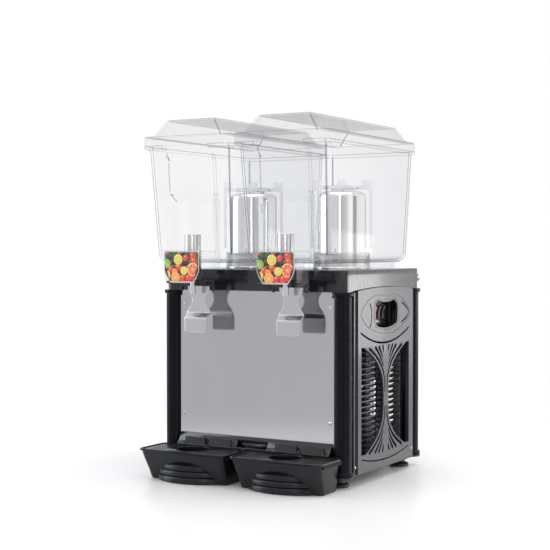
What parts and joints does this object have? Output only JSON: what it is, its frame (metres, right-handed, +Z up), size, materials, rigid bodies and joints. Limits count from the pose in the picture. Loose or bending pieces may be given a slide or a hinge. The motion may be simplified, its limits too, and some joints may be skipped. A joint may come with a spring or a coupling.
{
  "type": "twin-tank refrigerated drink dispenser",
  "caption": "Twin-tank refrigerated drink dispenser with clear lift-off tanks, stirrers over cold columns, push-lever taps, drip trays and a cabinet with switches and a grille.",
  "frame": {"origin": "middle of the footprint, on the surface the machine stands on", "axes": "+Z up; -Y towards the taps and drip trays; +X towards the side with the switches"},
  "size_m": [0.414, 0.44, 0.69],
  "materials": {
    "black_plastic": "gloss black moulding",
    "tray_plastic": "dark satin moulding",
    "clear_polycarbonate": "clear, glossy",
    "stainless_steel": "bright polished",
    "galvanised_steel": "plain zinc",
    "painted_steel": "black semi-gloss",
    "aluminium": "mill",
    "white_nylon": "natural white",
    "grey_silicone": "matt",
    "red_plastic": "gloss",
    "picture_insert": "printed picture behind a clear face"
  },
  "bodies": {
    "chassis": {"base_pan": "painted_steel", "post_front_left": "black_plastic", "post_front_right": "black_plastic", "post_rear_left": "black_plastic", "post_rear_right": "black_plastic", "front_panel": "stainless_steel", "rear_panel": "painted_steel", "side_panel_left": "black_plastic", "side_panel_right": "black_plastic", "crown": "black_plastic", "splash_deck": "black_plastic", "switch_bowl": "black_plastic", "compressor": "painted_steel", "condenser": "aluminium", "fan_shroud": "galvanised_steel", "fan_motor": "painted_steel", "evaporator_left": "stainless_steel", "evaporator_right": "stainless_steel", "tank_seal_left": "grey_silicone", "tank_seal_right": "grey_silicone", "stirrer_motor_left": "painted_steel", "stirrer_motor_right": "painted_steel", "cord_gland": "black_plastic"},
    "tank_body_left": {"tank_left": "clear_polycarbonate", "tap_cover_left": "clear_polycarbonate", "label_plate_left": "picture_insert", "valve_sleeve_left": "stainless_steel", "valve_spring_left": "galvanised_steel"},
    "lid_body_left": {"lid_left": "clear_polycarbonate"},
    "stirrer_left": {"agitator_left": "white_nylon"},
    "rotor_left": {"drive_rotor_left": "galvanised_steel"},
    "plunger_left": {"valve_plunger_left": "stainless_steel"},
    "lever_left": {"lever_yoke_left": "black_plastic", "push_lever_left": "stainless_steel"},
    "tray_left": {"drip_tray_left": "tray_plastic"},
    "grid_left": {"drip_grid_left": "tray_plastic"},
    "levelling_foot_front_left": {"foot_front_left": "black_plastic"},
    "levelling_foot_rear_left": {"foot_rear_left": "black_plastic"},
    "tank_body_right": {"tank_right": "clear_polycarbonate", "tap_cover_right": "clear_polycarbonate", "label_plate_right": "picture_insert", "valve_sleeve_right": "stainless_steel", "valve_spring_right": "galvanised_steel"},
    "lid_body_right": {"lid_right": "clear_polycarbonate"},
    "stirrer_right": {"agitator_right": "white_nylon"},
    "rotor_right": {"drive_rotor_right": "galvanised_steel"},
    "plunger_right": {"valve_plunger_right": "stainless_steel"},
    "lever_right": {"lever_yoke_right": "black_plastic", "push_lever_right": "stainless_steel"},
    "tray_right": {"drip_tray_right": "tray_plastic"},
    "grid_right": {"drip_grid_right": "tray_plastic"},
    "levelling_foot_front_right": {"foot_front_right": "black_plastic"},
    "levelling_foot_rear_right": {"foot_rear_right": "black_plastic"},
    "switch_1": {"rocker_1": "red_plastic"},
    "switch_2": {"rocker_2": "black_plastic"},
    "switch_3": {"rocker_3": "black_plastic"},
    "fan": {"fan_blade": "aluminium"},
    "knob": {"rear_knob": "black_plastic"}
  },
  "joints": [
    {"name": "tank_lift_left", "type": "slide", "parent": "chassis", "child": "tank_body_left", "axis": [0, 0, 1], "range_m": [0, 0.17]},
    {"name": "lid_lift_left", "type": "slide", "parent": "tank_body_left", "child": "lid_body_left", "axis": [0, 0, 1], "range_m": [0, 0.1]},
    {"name": "rotor_spin_left", "type": "hinge", "parent": "chassis", "child": "rotor_left", "pos_m": [-0.102, 0.0535, 0.5], "axis": [0, 0, 1], "continuous": true},
    {"name": "stirrer_spin_left", "type": "hinge", "parent": "tank_body_left", "child": "stirrer_left", "pos_m": [-0.102, 0.0535, 0.56], "axis": [0, 0, 1], "continuous": true},
    {"name": "lever_push_left", "type": "hinge", "parent": "tank_body_left", "child": "lever_left", "pos_m": [-0.102, -0.195, 0.38], "axis": [1, 0, 0], "range_deg": [0, 15]},
    {"name": "valve_lift_left", "type": "slide", "parent": "tank_body_left", "child": "plunger_left", "axis": [0, 0, 1], "range_m": [0, 0.0065], "stiffness_N_per_m": 200, "springref_m": -0.01, "deforming": ["valve_spring_left"]},
    {"name": "tray_pull_left", "type": "slide", "parent": "chassis", "child": "tray_left", "axis": [0, -1, 0], "range_m": [0, 0.12]},
    {"name": "grid_lift_left", "type": "slide", "parent": "tray_left", "child": "grid_left", "axis": [0, 0, 1], "range_m": [0, 0.05]},
    {"name": "foot_screw_front_left", "type": "slide", "parent": "chassis", "child": "levelling_foot_front_left", "axis": [0, 0, -1], "range_m": [0, 0.01]},
    {"name": "foot_screw_rear_left", "type": "slide", "parent": "chassis", "child": "levelling_foot_rear_left", "axis": [0, 0, -1], "range_m": [0, 0.01]},
    {"name": "tank_lift_right", "type": "slide", "parent": "chassis", "child": "tank_body_right", "axis": [0, 0, 1], "range_m": [0, 0.17]},
    {"name": "lid_lift_right", "type": "slide", "parent": "tank_body_right", "child": "lid_body_right", "axis": [0, 0, 1], "range_m": [0, 0.1]},
    {"name": "rotor_spin_right", "type": "hinge", "parent": "chassis", "child": "rotor_right", "pos_m": [0.102, 0.0535, 0.5], "axis": [0, 0, 1], "continuous": true},
    {"name": "stirrer_spin_right", "type": "hinge", "parent": "tank_body_right", "child": "stirrer_right", "pos_m": [0.102, 0.0535, 0.56], "axis": [0, 0, 1], "continuous": true},
    {"name": "lever_push_right", "type": "hinge", "parent": "tank_body_right", "child": "lever_right", "pos_m": [0.102, -0.195, 0.38], "axis": [1, 0, 0], "range_deg": [0, 15]},
    {"name": "valve_lift_right", "type": "slide", "parent": "tank_body_right", "child": "plunger_right", "axis": [0, 0, 1], "range_m": [0, 0.0065], "stiffness_N_per_m": 200, "springref_m": -0.01, "deforming": ["valve_spring_right"]},
    {"name": "tray_pull_right", "type": "slide", "parent": "chassis", "child": "tray_right", "axis": [0, -1, 0], "range_m": [0, 0.12]},
    {"name": "grid_lift_right", "type": "slide", "parent": "tray_right", "child": "grid_right", "axis": [0, 0, 1], "range_m": [0, 0.05]},
    {"name": "foot_screw_front_right", "type": "slide", "parent": "chassis", "child": "levelling_foot_front_right", "axis": [0, 0, -1], "range_m": [0, 0.01]},
    {"name": "foot_screw_rear_right", "type": "slide", "parent": "chassis", "child": "levelling_foot_rear_right", "axis": [0, 0, -1], "range_m": [0, 0.01]},
    {"name": "switch_rock_1", "type": "hinge", "parent": "chassis", "child": "switch_1", "pos_m": [0.184, 0.028, 0.32], "axis": [0, -1, 0], "range_deg": [0, 16]},
    {"name": "switch_rock_2", "type": "hinge", "parent": "chassis", "child": "switch_2", "pos_m": [0.184, 0.048, 0.32], "axis": [0, -1, 0], "range_deg": [0, 16]},
    {"name": "switch_rock_3", "type": "hinge", "parent": "chassis", "child": "switch_3", "pos_m": [0.184, 0.068, 0.32], "axis": [0, -1, 0], "range_deg": [0, 16]},
    {"name": "fan_spin", "type": "hinge", "parent": "chassis", "child": "fan", "pos_m": [0.138, 0.042, 0.15], "axis": [1, 0, 0], "continuous": true},
    {"name": "knob_turn", "type": "hinge", "parent": "chassis", "child": "knob", "pos_m": [0.1905, 0.215, 0.384], "axis": [0, 1, 0], "range_deg": [0, 270]}
  ],
  "couplings": [
    {"joint": "stirrer_spin_left", "follows": "rotor_spin_left", "ratio": 1},
    {"joint": "valve_lift_left", "follows": "lever_push_left", "m_per_rad": 0.0235},
    {"joint": "stirrer_spin_right", "follows": "rotor_spin_right", "ratio": 1},
    {"joint": "valve_lift_right", "follows": "lever_push_right", "m_per_rad": 0.0235}
  ]
}
